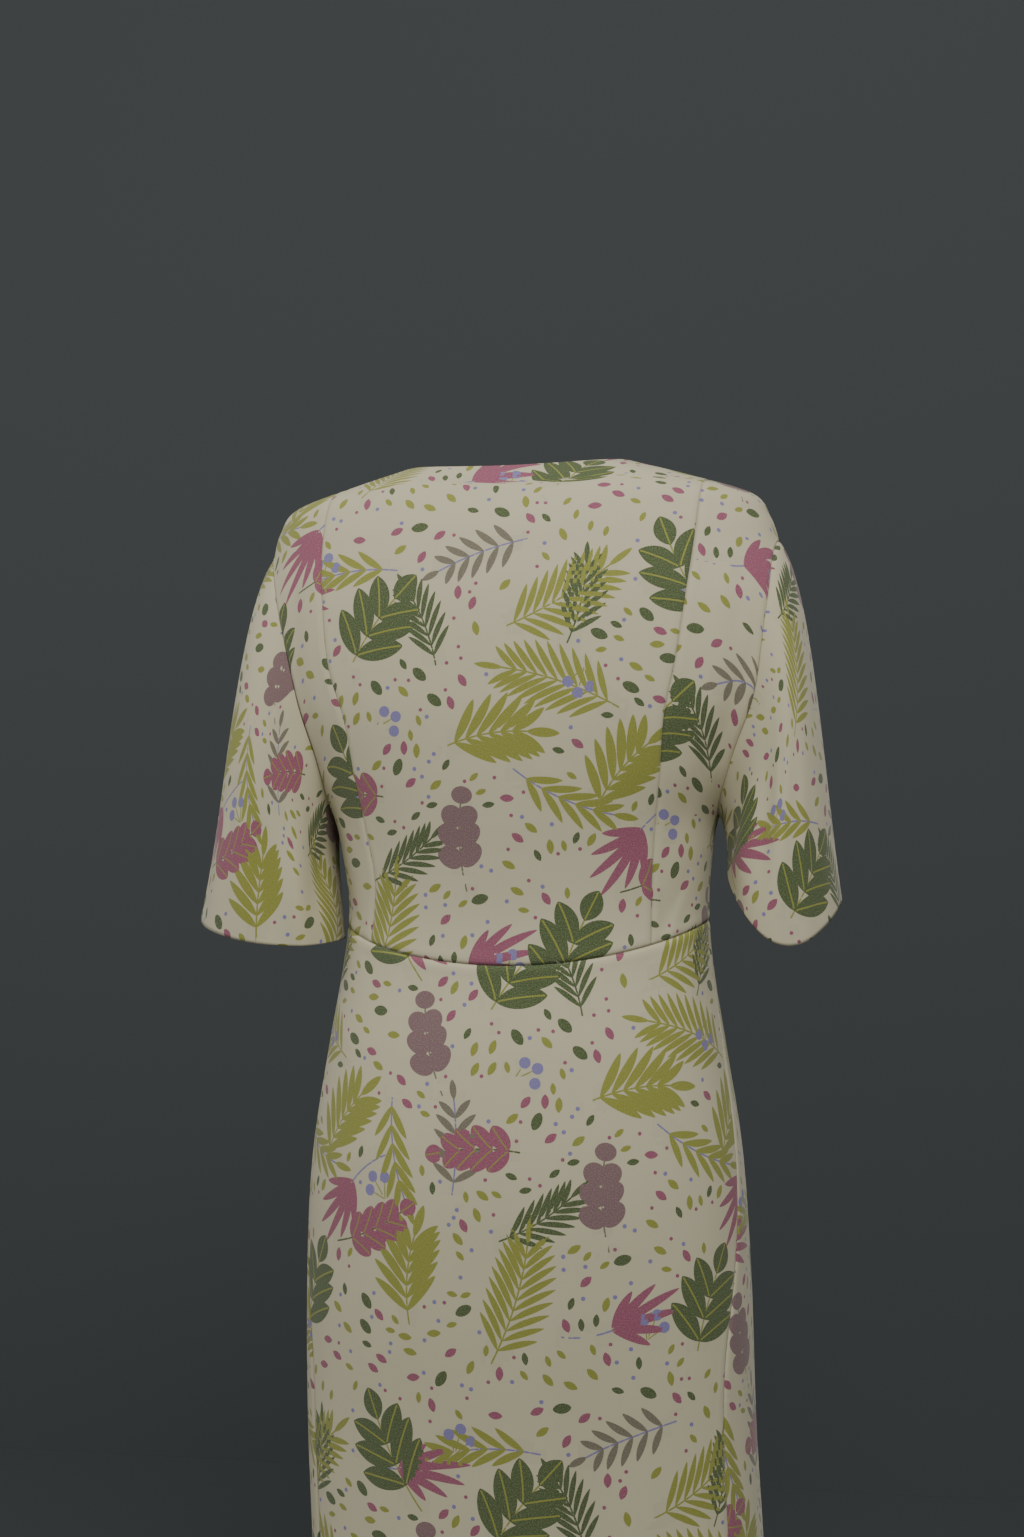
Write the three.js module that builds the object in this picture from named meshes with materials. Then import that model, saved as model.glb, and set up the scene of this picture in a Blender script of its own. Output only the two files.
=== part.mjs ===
// A knee-length jersey dress, hollow and as it hangs when worn: a back bodice of three panels, a plain
// front bodice, two elbow sleeves and a straight skirt of a back and a front.
// Millimetres, +Z up. The front faces -Y and the wearer's left is +X. The origin lies midway between
// the neck ends of the two shoulder seams, where the wearer's shoulders carry the dress.
import * as THREE from "three";

// Cloth and seams
const WALL = 1.5;
const SEAM = 0.3;
const SLEEVE_EASE = 0.45;

// Levels and the few sizes that the cut is made from
const NECK_HALF_WIDTH = 96;
const BACK_NECK_DIP = 6;
const FRONT_NECK_DROP = 85;
const SHOULDER_TIP = -73;
const UNDERARM = -305;
const ARMHOLE_HALF_DEPTH = 60;
const WAIST_SIDE = -396;
const WAIST_DIP = { back: 29.5, front: 9 };
const WAIST_CURVE = 0.85;
const HEM = -1050;

// A horizontal section of the dress is a superellipse of this power, rounder than a box and fuller
// than an ellipse
const FULLNESS = 2.3;

// The body of the dress, a row for each level: half widths to the wearer's left and right and half
// depths to back and front. Between the shoulder tip and the underarm the widths run on past the
// armhole's edge, as if no sleeve were set in.
const BODY = [
  { z: 0, left: 96, right: 96, back: 50, front: 46 },
  { z: -15, left: 149, right: 149, back: 60, front: 56 },
  { z: -32, left: 200, right: 200, back: 70, front: 66 },
  { z: -52, left: 216, right: 215, back: 79, front: 76 },
  { z: -73, left: 222, right: 222, back: 86, front: 84 },
  { z: -126, left: 230, right: 240, back: 99, front: 106 },
  { z: -200, left: 217, right: 236, back: 106, front: 131 },
  { z: -262, left: 187, right: 197, back: 105, front: 136 },
  { z: -305, left: 168.5, right: 168, back: 102, front: 129 },
  { z: -340, left: 161, right: 161, back: 99, front: 120 },
  { z: -386, left: 156.5, right: 157.5, back: 98, front: 112 },
  { z: -430, left: 162, right: 160, back: 103, front: 112 },
  { z: -500, left: 175, right: 170, back: 117, front: 117 },
  { z: -590, left: 190, right: 183, back: 129, front: 121 },
  { z: -690, left: 197, right: 189, back: 131, front: 122 },
  { z: -830, left: 199, right: 192, back: 128, front: 121 },
  { z: -940, left: 196.5, right: 197, back: 128, front: 122 },
  { z: -1050, left: 198, right: 199, back: 130, front: 124 },
];

// The curved seams between the back's centre and side panels: distance from the centre back
const PRINCESS = [
  { z: -22, left: 160, right: 163 },
  { z: -75, left: 163, right: 158 },
  { z: -120, left: 160, right: 152 },
  { z: -178, left: 153, right: 143 },
  { z: -220, left: 140, right: 134 },
  { z: -267, left: 133, right: 129 },
  { z: -314, left: 125, right: 123 },
  { z: -358, left: 118, right: 119.5 },
  { z: -430, left: 126, right: 118 },
];

// The skirt's side seams swing towards the back: how far behind the side they lie
const SKIRT_SEAM = [
  { z: -396, behind: 0 },
  { z: -500, behind: 10 },
  { z: -640, behind: 34 },
  { z: -750, behind: 62 },
  { z: -850, behind: 66 },
  { z: -1050, behind: 66 },
];

// Each sleeve is a tube from the armhole to its hem, a row for each of four stations around it.
// The hem's place is in the dress's frame; leave says which way and how far the cloth sets off from
// the armhole, and rise how far above the hem it has turned to hang. All x are away from the body.
const SLEEVES = {
  left: [
    { station: "top", hem: [294, 4, -391], leave: [30, 0, -37], rise: [-29, 0, 112] },
    { station: "back", hem: [229, 74, -409], leave: [26, 8, -30], rise: [0, 3, 95] },
    { station: "under", hem: [164, 10, -411], leave: [8, 0, -26], rise: [3, 0, 40] },
    { station: "front", hem: [229, -56, -402], leave: [26, -8, -30], rise: [0, -3, 95] },
  ],
  right: [
    { station: "top", hem: [271, 2, -379], leave: [27, 0, -35], rise: [-15, 0, 116] },
    { station: "back", hem: [224, 72, -410], leave: [26, 8, -30], rise: [2, 4, 95] },
    { station: "under", hem: [175, 4, -353], leave: [7, 0, -14], rise: [1, 0, 16] },
    { station: "front", hem: [222, -68, -396], leave: [26, -8, -30], rise: [2, -4, 95] },
  ],
};

// The largest soft folds. On a sleeve: around is from its top over its back, in degrees, start and
// end are fractions of its length, and drift is how far the fold wanders. Depth is in, height is out.
const SLEEVE_FOLDS = {
  left: [
    { around: 128, drift: 6, start: 0.3, end: 1.3, width: 11, depth: -5 },
    { around: 103, drift: 8, start: 0.35, end: 1.2, width: 12, depth: 4 },
    { around: 152, drift: -8, start: 0.15, end: 0.95, width: 12, depth: 4 },
    { around: 236, drift: 10, start: 0.25, end: 1.2, width: 14, depth: 4 },
    { around: 280, drift: -6, start: 0.4, end: 1.3, width: 14, depth: -3 },
  ],
  right: [
    { around: 108, drift: 14, start: 0.1, end: 1.0, width: 11, depth: 5 },
    { around: 132, drift: 10, start: 0.2, end: 1.1, width: 11, depth: -4 },
    { around: 74, drift: 8, start: 0.3, end: 1.2, width: 13, depth: 3 },
    { around: 240, drift: -8, start: 0.2, end: 1.1, width: 14, depth: 4 },
    { around: 290, drift: 6, start: 0.45, end: 1.3, width: 14, depth: -3 },
  ],
};
// On the skirt: x is where a fold meets the hem, lean how far it drifts on its way up, top where it
// fades out, and side says which panel it is on
const SKIRT_FOLDS = [
  { side: "back", x: -84, lean: 10, top: -640, width: 20, depth: 4.5 },
  { side: "back", x: -30, lean: -8, top: -760, width: 22, depth: -3 },
  { side: "back", x: 52, lean: 6, top: -820, width: 24, depth: 3 },
  { side: "back", x: 138, lean: -6, top: -790, width: 18, depth: 4 },
  { side: "front", x: -118, lean: 8, top: -700, width: 22, depth: 4 },
  { side: "front", x: -46, lean: 12, top: -620, width: 24, depth: 4.5 },
  { side: "front", x: 38, lean: -8, top: -740, width: 22, depth: 3.5 },
  { side: "front", x: 112, lean: -10, top: -660, width: 22, depth: 4.5 },
];

// Grid sizes
const SHOULDER_ROWS = 8;
const ARMHOLE_STEPS = 12;
const RIB_ROWS = 4;
const FRONT_COLUMNS = 9;
const SLEEVE_ROWS = 11;
const SKIRT_ROWS = 10;

const MIRROR = { left: 1, right: -1 };
const FACING = { back: 1, front: -1 };
const TAU = 2 * Math.PI;

/** A column of a table at a level: a smooth curve through the rows, straight past the last one. */
function read(table, column, z) {
  const last = table.length - 1;
  let i = 0;
  while (i < last - 1 && z < table[i + 1].z) i += 1;
  const slope = (a, b) => (table[b][column] - table[a][column]) / (table[b].z - table[a].z);
  const here = slope(i, i + 1);
  const before = i > 0 ? (slope(i - 1, i) + here) / 2 : here;
  const after = i + 1 < last ? (here + slope(i + 1, i + 2)) / 2 : here;
  const span = table[i + 1].z - table[i].z;
  const t = THREE.MathUtils.clamp((z - table[i].z) / span, 0, 1);
  const start = table[i][column] * (2 * t ** 3 - 3 * t ** 2 + 1) + before * span * (t ** 3 - 2 * t ** 2 + t);
  return start + table[i + 1][column] * (3 * t ** 2 - 2 * t ** 3) + after * span * (t ** 3 - t ** 2);
}

/** How far the armhole edge lies behind or before the side seam: half an ellipse, seen from the side. */
function armholeDepth(z) {
  const middle = (SHOULDER_TIP + UNDERARM) / 2;
  const reach = (SHOULDER_TIP - UNDERARM) / 2;
  return ARMHOLE_HALF_DEPTH * Math.sqrt(Math.max(0, 1 - ((z - middle) / reach) ** 2));
}

/** A section's half width at a depth, as a share of its full half width. */
function narrowed(z, side, depth) {
  return (1 - (depth / read(BODY, side, z)) ** FULLNESS) ** (1 / FULLNESS);
}

/** How far out a section reaches: to the shoulder seam, the armhole's edge or the side seam. */
function edgeDistance(z, hand, side) {
  return read(BODY, hand, z) * narrowed(z, side, armholeDepth(z));
}

/** Depth of the section at a signed x, out to the back or the front. */
function depthAt(x, z, side) {
  const share = Math.min(1, Math.abs(x) / read(BODY, x >= 0 ? "left" : "right", z));
  return read(BODY, side, z) * (1 - share ** FULLNESS) ** (1 / FULLNESS);
}

/** The waist seam's level: highest at the sides, dipping to the centre. */
function waistLevel(x, side) {
  const width = read(BODY, x >= 0 ? "left" : "right", WAIST_SIDE);
  const inward = Math.max(0, 1 - (x / width) ** 2);
  return WAIST_SIDE - WAIST_DIP[side] * inward ** WAIST_CURVE;
}

/** How deep the skirt's folds are at a point of its back or front. */
function skirtFold(x, z, side) {
  let depth = 0;
  for (const fold of SKIRT_FOLDS.filter((row) => row.side === side)) {
    const down = (fold.top - z) / (fold.top - HEM);
    if (down <= 0) continue;
    const centre = fold.x + fold.lean * (1 - down);
    depth += fold.depth * Math.sin((down * Math.PI) / 2) ** 2 * Math.exp(-(((x - centre) / fold.width) ** 2));
  }
  return depth;
}

/** A point of the dress's body, its x and level given. */
function bodyPoint(x, z, side) {
  const depth = depthAt(x, z, side) - skirtFold(x, z, side);
  return new THREE.Vector3(x, FACING[side] * depth, z);
}

/** Moves from one x to another so that the points lie evenly along the section, not along x. */
function across(from, to, t, z) {
  const width = (x) => read(BODY, x >= 0 ? "left" : "right", z);
  const angle = (x) => Math.asin(THREE.MathUtils.clamp(x / width(x), -1, 1));
  const turn = THREE.MathUtils.lerp(angle(from), angle(to), t);
  return Math.sin(turn) * width(turn);
}

/** Levels of the bodice's rows from the neck to the underarm: even along the shoulder, then around
 * the armhole. */
function bodiceLevels(top) {
  const levels = [];
  for (let i = 0; i < SHOULDER_ROWS; i += 1) {
    levels.push(top + (SHOULDER_TIP - top) * (i / SHOULDER_ROWS) ** 1.6);
  }
  const reach = (SHOULDER_TIP - UNDERARM) / 2;
  for (let i = 0; i <= ARMHOLE_STEPS; i += 1) {
    levels.push(SHOULDER_TIP - reach * (1 - Math.cos((Math.PI * i) / ARMHOLE_STEPS)));
  }
  return levels;
}

/** A bodice panel's points on the waist seam, each found by sliding along the seam until it settles. */
function waistRow(side, columns, inner, outer) {
  return Array.from({ length: columns + 1 }, (_, i) => {
    let level = WAIST_SIDE;
    let x = 0;
    for (let pass = 0; pass < 8; pass += 1) {
      x = across(inner(level), outer(level), i / columns, level);
      level = waistLevel(x, side);
    }
    return bodyPoint(x, level, side);
  });
}

/** Rows of a bodice panel between two edges, each a function of the level that gives a signed x. */
function bodiceGrid(side, columns, inner, outer) {
  const point = (i, level) => bodyPoint(across(inner(level), outer(level), i / columns, level), level, side);
  const feet = waistRow(side, columns, inner, outer);
  const grid = bodiceLevels(0).map((level) => feet.map((_, i) => point(i, level)));
  for (let j = 1; j < RIB_ROWS; j += 1) {
    grid.push(feet.map((foot, i) => point(i, THREE.MathUtils.lerp(UNDERARM, foot.z, j / RIB_ROWS))));
  }
  return [...grid, feet];
}

/** Pulls a grid's edges in by half a seam, and its last row up or its first row down with them. */
function trimmed(grid, edges) {
  const pull = (point, towards, by) => {
    const step = towards.clone().sub(point);
    return step.length() < by * 2 ? point.clone() : point.clone().addScaledVector(step.normalize(), by);
  };
  let out = grid.map((row) => row.map((point) => point.clone()));
  if (edges.includes("sides")) {
    out = out.map((row) => {
      const end = row.length - 1;
      return row.map((point, i) => {
        if (i === 0) return pull(point, row[1], SEAM / 2);
        return i === end ? pull(point, row[end - 1], SEAM / 2) : point;
      });
    });
  }
  if (edges.includes("outer")) {
    out = out.map((row) => [...row.slice(0, -1), pull(row.at(-1), row.at(-2), SEAM / 2)]);
  }
  const end = out.length - 1;
  if (edges.includes("top")) out[0] = out[0].map((point, i) => pull(point, out[1][i], SEAM / 2));
  if (edges.includes("bottom")) out[end] = out[end].map((point, i) => pull(point, out[end - 1][i], SEAM / 2));
  return out;
}

/** The way along a line of points at one of them, from its neighbours or, at an end, from the next two. */
function heading(points, i) {
  const last = points.length - 1;
  if (i > 0 && i < last) return points[i + 1].clone().sub(points[i - 1]);
  const [near, far, sign] = i === 0 ? [points[1], points[2], 1] : [points[last - 1], points[last - 2], -1];
  return near.clone().multiplyScalar(4).sub(far).addScaledVector(points[i], -3).multiplyScalar(sign);
}

/** One panel of cloth: the grids are its outside, WALL thick inwards, closed along every edge. */
function cloth(name, grids, colour) {
  const points = [];
  const normals = [];
  const keys = new Map();
  const corner = (point) => {
    const key = point.toArray().map((value) => Math.round(value * 500)).join();
    if (!keys.has(key)) {
      keys.set(key, points.length);
      points.push(point.clone());
      normals.push(new THREE.Vector3());
    }
    return keys.get(key);
  };
  const faces = [];
  const face = (a, b, c) => {
    if (a !== b && b !== c && c !== a) faces.push([a, b, c]);
  };
  for (const grid of grids) {
    const lines = grid[0].map((_, i) => grid.map((row) => row[i]));
    for (let j = 0; j < grid.length; j += 1) {
      for (let i = 0; i < grid[j].length; i += 1) {
        const normal = heading(lines[i], j).normalize().cross(heading(grid[j], i).normalize());
        normals[corner(grid[j][i])].add(normal);
        if (i + 1 === grid[j].length || j + 1 === grid.length) continue;
        const [a, b] = [corner(grid[j][i]), corner(grid[j][i + 1])];
        const [c, d] = [corner(grid[j + 1][i + 1]), corner(grid[j + 1][i])];
        face(a, d, b);
        face(b, d, c);
      }
    }
  }
  const count = points.length;
  const inside = points.map((point, i) => {
    const normal = normals[i];
    // Front and back share one upright wall plane where they meet at the side or on the shoulder
    if (Math.abs(point.y) < SEAM) normal.y = 0;
    return point.clone().addScaledVector(normal.normalize(), -WALL);
  });
  const edges = new Set(faces.flatMap(([a, b, c]) => [`${a},${b}`, `${b},${c}`, `${c},${a}`]));
  const index = faces.flatMap(([a, b, c]) => [a, b, c, a + count, c + count, b + count]);
  for (const edge of edges) {
    const [a, b] = edge.split(",").map(Number);
    if (!edges.has(`${b},${a}`)) index.push(a, b + count, b, a, a + count, b + count);
  }
  const geometry = new THREE.BufferGeometry();
  const all = [...points, ...inside].flatMap((point) => point.toArray());
  geometry.setAttribute("position", new THREE.Float32BufferAttribute(all, 3));
  geometry.setIndex(index);
  const material = new THREE.MeshStandardMaterial({ color: colour, roughness: 0.9, metalness: 0 });
  const mesh = new THREE.Mesh(geometry, material);
  mesh.name = name;
  return mesh;
}

/** The signed x where a section ends: the shoulder seam, the armhole edge or the side seam. */
const edgeOf = (hand, side) => (z) => MIRROR[hand] * edgeDistance(z, hand, side);

/** The signed x of a princess seam, or the shoulder seam above the point where they meet. */
const princessOf = (hand) => (z) => MIRROR[hand] * Math.min(read(PRINCESS, hand, z), read(BODY, hand, z));

/** The back neckline dips a little to the centre back. */
function dipped(grid) {
  const dip = (x) => BACK_NECK_DIP * Math.max(0, 1 - (x / NECK_HALF_WIDTH) ** 2);
  return grid.map((row, j) => row.map((point, i) => {
    if (j === 0) return point.clone().setZ(point.z - dip(point.x));
    const share = dip(grid[0][i].x) * Math.max(0, 1 - j / 4);
    return point.clone().setZ(point.z - share);
  }));
}

/** The three back panels from the wearer's left to right: their names, columns and two edges. */
const BACK_PANELS = [
  { name: "back_side_left", columns: 4, from: edgeOf("left", "back"), to: princessOf("left"), colour: "#cfc7a4" },
  { name: "back_centre", columns: 12, from: princessOf("left"), to: princessOf("right"), colour: "#d6cdab" },
  { name: "back_side_right", columns: 4, from: princessOf("right"), to: edgeOf("right", "back"), colour: "#cfc7a4" },
];

function backBodice() {
  return BACK_PANELS.map(({ name, columns, from, to, colour }) => {
    const grid = bodiceGrid("back", columns, from, to);
    return cloth(name, [trimmed(name === "back_centre" ? dipped(grid) : grid, ["sides", "bottom"])], colour);
  });
}

/** Half the front neckline's width at a level: a quarter ellipse down to the centre front. */
function neckline(z) {
  const share = THREE.MathUtils.clamp(z / -FRONT_NECK_DROP, 0, 1);
  return NECK_HALF_WIDTH * Math.sqrt(1 - share ** 2);
}

/** The front's inner edge: the neckline, then the centre front below it. */
const neckOf = (hand) => (z) => MIRROR[hand] * Math.min(neckline(z), read(BODY, hand, z));

/** The front is two half grids that share the centre front below the neckline's lowest point. */
function frontBodice() {
  const halves = ["left", "right"].map((hand) => {
    const half = bodiceGrid("front", FRONT_COLUMNS, neckOf(hand), edgeOf(hand, "front"));
    const grid = trimmed(half, ["outer", "bottom"]);
    return hand === "left" ? grid : grid.map((row) => row.reverse());
  });
  return cloth("front_bodice", halves, "#d2caa8");
}

/** The smoothest loop through four stations, a quarter turn apart. */
function around(stations, column, axis, turn) {
  const [top, back, under, front] = stations.map((row) => row[column][axis]);
  const mean = (top + back + under + front) / 4;
  const twice = (top - back + under - front) / 4;
  const sway = ((top - under) / 2) * Math.cos(turn) + ((back - front) / 2) * Math.sin(turn);
  return mean + sway + twice * Math.cos(2 * turn);
}

/** A point of the armhole, its turn counted from the shoulder tip over the back. */
function armholePoint(hand, turn) {
  const middle = (SHOULDER_TIP + UNDERARM) / 2;
  const z = middle + ((SHOULDER_TIP - UNDERARM) / 2) * Math.cos(turn);
  const side = Math.sin(turn) >= 0 ? "back" : "front";
  return new THREE.Vector3(edgeDistance(z, hand, side) + SLEEVE_EASE, ARMHOLE_HALF_DEPTH * Math.sin(turn), z);
}

/** A sleeve: each line along it leaves the armhole outwards and turns down to hang at the hem. */
function sleeve(hand) {
  const stations = SLEEVES[hand];
  const columns = 2 * ARMHOLE_STEPS;
  const line = (turn) => {
    const vector = (column) => new THREE.Vector3(...[0, 1, 2].map((axis) => around(stations, column, axis, turn)));
    const from = armholePoint(hand, turn);
    const to = vector("hem");
    return new THREE.CubicBezierCurve3(from, from.clone().add(vector("leave")), to.clone().add(vector("rise")), to);
  };
  const lines = Array.from({ length: columns }, (_, i) => line((TAU * i) / columns));
  const grid = [];
  for (let j = 0; j <= SLEEVE_ROWS; j += 1) {
    grid.push(lines.map((curve) => curve.getPoint(j / SLEEVE_ROWS)));
  }
  const folded = grid.map((row, j) => {
    const middle = row.reduce((sum, point) => sum.add(point), new THREE.Vector3()).divideScalar(columns);
    return row.map((point, i) => {
      const along = j / SLEEVE_ROWS;
      let depth = 0;
      for (const fold of SLEEVE_FOLDS[hand]) {
        const share = (along - fold.start) / (fold.end - fold.start);
        if (share <= 0 || share >= 1) continue;
        const off = (360 * i) / columns - fold.around - fold.drift * (share - 0.5);
        depth += fold.depth * Math.sin(Math.PI * share) ** 2 * Math.exp(-((off / fold.width) ** 2));
      }
      const inward = middle.clone().sub(point).setZ(0).normalize();
      return point.clone().addScaledVector(inward, depth);
    });
  });
  const closed = folded.map((row) => [...row, row[0]]);
  const placed = closed.map((row) => row.map((point) => point.clone().setX(MIRROR[hand] * point.x)));
  const outward = hand === "right" ? placed.map((row) => [...row].reverse()) : placed;
  return cloth(`sleeve_${hand}`, [trimmed(outward, ["top"])], "#c9c19c");
}

/** The turn of a point of a section, from the wearer's left: over the back, or back over the front. */
function turnOf(point, side) {
  const width = read(BODY, point.x >= 0 ? "left" : "right", point.z);
  const share = Math.min(1, Math.abs(point.x) / width) ** (FULLNESS / 2);
  return Math.atan2(FACING[side] * Math.sqrt(1 - share ** 2), Math.sign(point.x) * share);
}

/** The turns of the skirt's two side seams at a level. */
function seamTurns(z) {
  const share = (read(SKIRT_SEAM, "behind", z) / read(BODY, "back", z)) ** (FULLNESS / 2);
  return { left: Math.asin(share), right: Math.PI - Math.asin(share) };
}

/** A point of the skirt's outside at a turn and a level. */
function skirtPoint(turn, z) {
  const hand = Math.cos(turn) >= 0 ? "left" : "right";
  const half = read(BODY, hand, z) * Math.abs(Math.cos(turn)) ** (2 / FULLNESS);
  return bodyPoint(MIRROR[hand] * half, z, Math.sin(turn) >= -1e-9 ? "back" : "front");
}

/** A skirt panel, from the bodice's points on the waist seam down to the hem, between the side seams. */
function skirt(side, feet) {
  const first = side === "back" ? 0 : -Math.PI;
  const shares = feet.map((foot) => (turnOf(foot, side) - first) / Math.PI);
  const grid = [feet];
  for (let j = 1; j <= SKIRT_ROWS; j += 1) {
    grid.push(feet.map((foot, i) => {
      const level = THREE.MathUtils.lerp(foot.z, HEM, j / SKIRT_ROWS);
      const { left, right } = seamTurns(level);
      const [from, to] = side === "back" ? [left, right] : [right - TAU, left];
      return skirtPoint(THREE.MathUtils.lerp(from, to, shares[i]), level);
    }));
  }
  return cloth(`skirt_${side}`, [trimmed(grid, ["sides", "top"])], side === "back" ? "#cec5a0" : "#d0c8a4");
}

/** The waist seam's points on the back, left to right, and on the front, right to left. */
function waistFeet(side) {
  if (side === "back") {
    const rows = BACK_PANELS.map(({ columns, from, to }) => waistRow("back", columns, from, to));
    return rows.flatMap((row, i) => (i === 0 ? row : row.slice(1)));
  }
  const half = (hand) => waistRow("front", FRONT_COLUMNS, neckOf(hand), edgeOf(hand, "front"));
  return [...half("right").reverse(), ...half("left").slice(1)];
}

const dress = new THREE.Group();
dress.add(...backBodice(), frontBodice(), sleeve("left"), sleeve("right"));
dress.add(skirt("back", waistFeet("back")), skirt("front", waistFeet("front")));

export default dress;
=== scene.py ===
import math

import bpy
import numpy as np
from mathutils import Matrix, Vector


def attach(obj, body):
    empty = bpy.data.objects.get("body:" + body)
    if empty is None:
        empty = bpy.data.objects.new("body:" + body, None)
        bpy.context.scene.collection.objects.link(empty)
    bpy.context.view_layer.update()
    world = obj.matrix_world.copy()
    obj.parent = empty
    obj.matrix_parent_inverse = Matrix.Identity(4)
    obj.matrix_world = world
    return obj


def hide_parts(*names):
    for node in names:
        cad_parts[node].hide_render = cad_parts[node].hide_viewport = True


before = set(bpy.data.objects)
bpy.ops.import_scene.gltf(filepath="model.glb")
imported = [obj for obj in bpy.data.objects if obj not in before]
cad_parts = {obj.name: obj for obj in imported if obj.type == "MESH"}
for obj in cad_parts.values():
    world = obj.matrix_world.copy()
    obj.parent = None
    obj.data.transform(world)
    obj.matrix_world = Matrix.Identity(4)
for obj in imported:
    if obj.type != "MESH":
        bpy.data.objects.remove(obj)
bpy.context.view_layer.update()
MM = 0.001

# The studio. The camera is level, behind the dress and a little to the wearer's right, rolled by less
# than a degree, with a normal lens. A large soft light hangs above it, two weaker ones fill the sides,
# and a slate wall stands behind the dress.
CAMERA_DISTANCE = 1.857
CAMERA_SIDE = math.radians(11.5)
CAMERA_ROLL = math.radians(0.8)
CAMERA_LEVEL = -0.263
AXIS_OFFSET = 0.0118
camera_data = bpy.data.cameras.new("studio_camera")
camera_data.lens = 50
camera_data.sensor_fit = "VERTICAL"
camera_data.sensor_height = 36
camera = bpy.data.objects.new("studio_camera", camera_data)
bpy.context.scene.collection.objects.link(camera)
bpy.context.scene.camera = camera
near = Vector((-math.sin(CAMERA_SIDE), math.cos(CAMERA_SIDE), 0))
level_right = Vector((-math.cos(CAMERA_SIDE), -math.sin(CAMERA_SIDE), 0))
level_up = Vector((0, 0, 1))
right = level_right * math.cos(CAMERA_ROLL) - level_up * math.sin(CAMERA_ROLL)
up = level_right * math.sin(CAMERA_ROLL) + level_up * math.cos(CAMERA_ROLL)
place = near * CAMERA_DISTANCE - level_right * AXIS_OFFSET + Vector((0, 0, CAMERA_LEVEL))
turned = Matrix((right, up, near)).transposed().to_4x4()
camera.matrix_world = Matrix.Translation(place) @ turned


def studio_light(name, azimuth, height, distance, size, power):
    """An area light at an azimuth from behind the dress, aimed at the middle of the bodice."""
    data = bpy.data.lights.new(name, "AREA")
    data.shape = "DISK"
    data.size = size
    data.energy = power
    light = bpy.data.objects.new(name, data)
    bpy.context.scene.collection.objects.link(light)
    turn = math.radians(azimuth)
    spot = Vector((-math.sin(turn) * distance, math.cos(turn) * distance, height))
    aim = Vector((0, 0, -0.35)) - spot
    light.matrix_world = Matrix.Translation(spot) @ aim.to_track_quat("-Z", "Y").to_matrix().to_4x4()


studio_light("key_light", 20, 1.9, 2.3, 1.5, 62)
studio_light("left_fill", -75, 0.6, 2.6, 1.6, 16)
studio_light("front_fill", 185, 0.9, 2.8, 1.8, 36)
world = bpy.data.worlds.new("studio_air")
world.use_nodes = True
air = world.node_tree.nodes["Background"].inputs
air["Color"].default_value = (0.82, 0.84, 0.87, 1)
air["Strength"].default_value = 0.42
bpy.context.scene.world = world


def plain_mesh(name, points, faces):
    """A mesh object of a list of points in metres and a list of faces."""
    mesh = bpy.data.meshes.new(name)
    mesh.from_pydata(points, [], faces)
    mesh.update()
    piece = bpy.data.objects.new(name, mesh)
    bpy.context.scene.collection.objects.link(piece)
    return piece


FLOOR_LEVEL = -1.42
WALL_BEHIND = -1.6
backdrop = plain_mesh(
    "studio_backdrop",
    [
        (-9, 9, FLOOR_LEVEL), (9, 9, FLOOR_LEVEL),
        (9, WALL_BEHIND, FLOOR_LEVEL), (-9, WALL_BEHIND, FLOOR_LEVEL),
        (9, WALL_BEHIND, 5), (-9, WALL_BEHIND, 5),
    ],
    [(3, 2, 1, 0), (5, 4, 2, 3)],
)
backdrop_paint = bpy.data.materials.new("slate_backdrop")
backdrop_paint.use_nodes = True
paint = backdrop_paint.node_tree.nodes["Principled BSDF"].inputs
paint["Base Color"].default_value = (0.078, 0.086, 0.086, 1)
paint["Roughness"].default_value = 0.9
backdrop.data.materials.append(backdrop_paint)

# The cut. The dress is a soft viscose jersey, cut in eight panels. Level by level it is a full oval
# whose half widths and half depths are the cut's own; the panels are stretches of it between seams.
FULLNESS = 2.3
SHOULDER_TIP, UNDERARM, WAIST_SIDE, HEM = -73, -305, -396, -1050
ARMHOLE_HALF_DEPTH = 60
NECK_HALF_WIDTH, BACK_NECK_DIP, FRONT_NECK_DROP = 96, 6, 85
LEVEL = [0, -15, -32, -52, -73, -126, -200, -262, -305, -340, -386, -430, -500, -590, -690, -830, -940, -1050]
BODY = {
    "left": [96, 149, 200, 216, 222, 230, 217, 187, 168.5, 161, 156.5, 162, 175, 190, 197, 199, 196.5, 198],
    "right": [96, 149, 200, 215, 222, 240, 236, 197, 168, 161, 157.5, 160, 170, 183, 189, 192, 197, 199],
    "back": [50, 60, 70, 79, 86, 99, 106, 105, 102, 99, 98, 103, 117, 129, 131, 128, 128, 130],
    "front": [46, 56, 66, 76, 84, 106, 131, 136, 129, 120, 112, 112, 117, 121, 122, 121, 122, 124],
}
PRINCESS_LEVEL = [-22, -75, -120, -178, -220, -267, -314, -358, -430]
PRINCESS = {
    "left": [160, 163, 160, 153, 140, 133, 125, 118, 126],
    "right": [163, 158, 152, 143, 134, 129, 123, 119.5, 118],
}
SKIRT_SEAM_LEVEL = [-396, -500, -640, -750, -850, -1050]
SKIRT_SEAM = [0, 10, 34, 62, 66, 66]
WAIST_DIP = {"back": 29.5, "front": 9}


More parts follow.
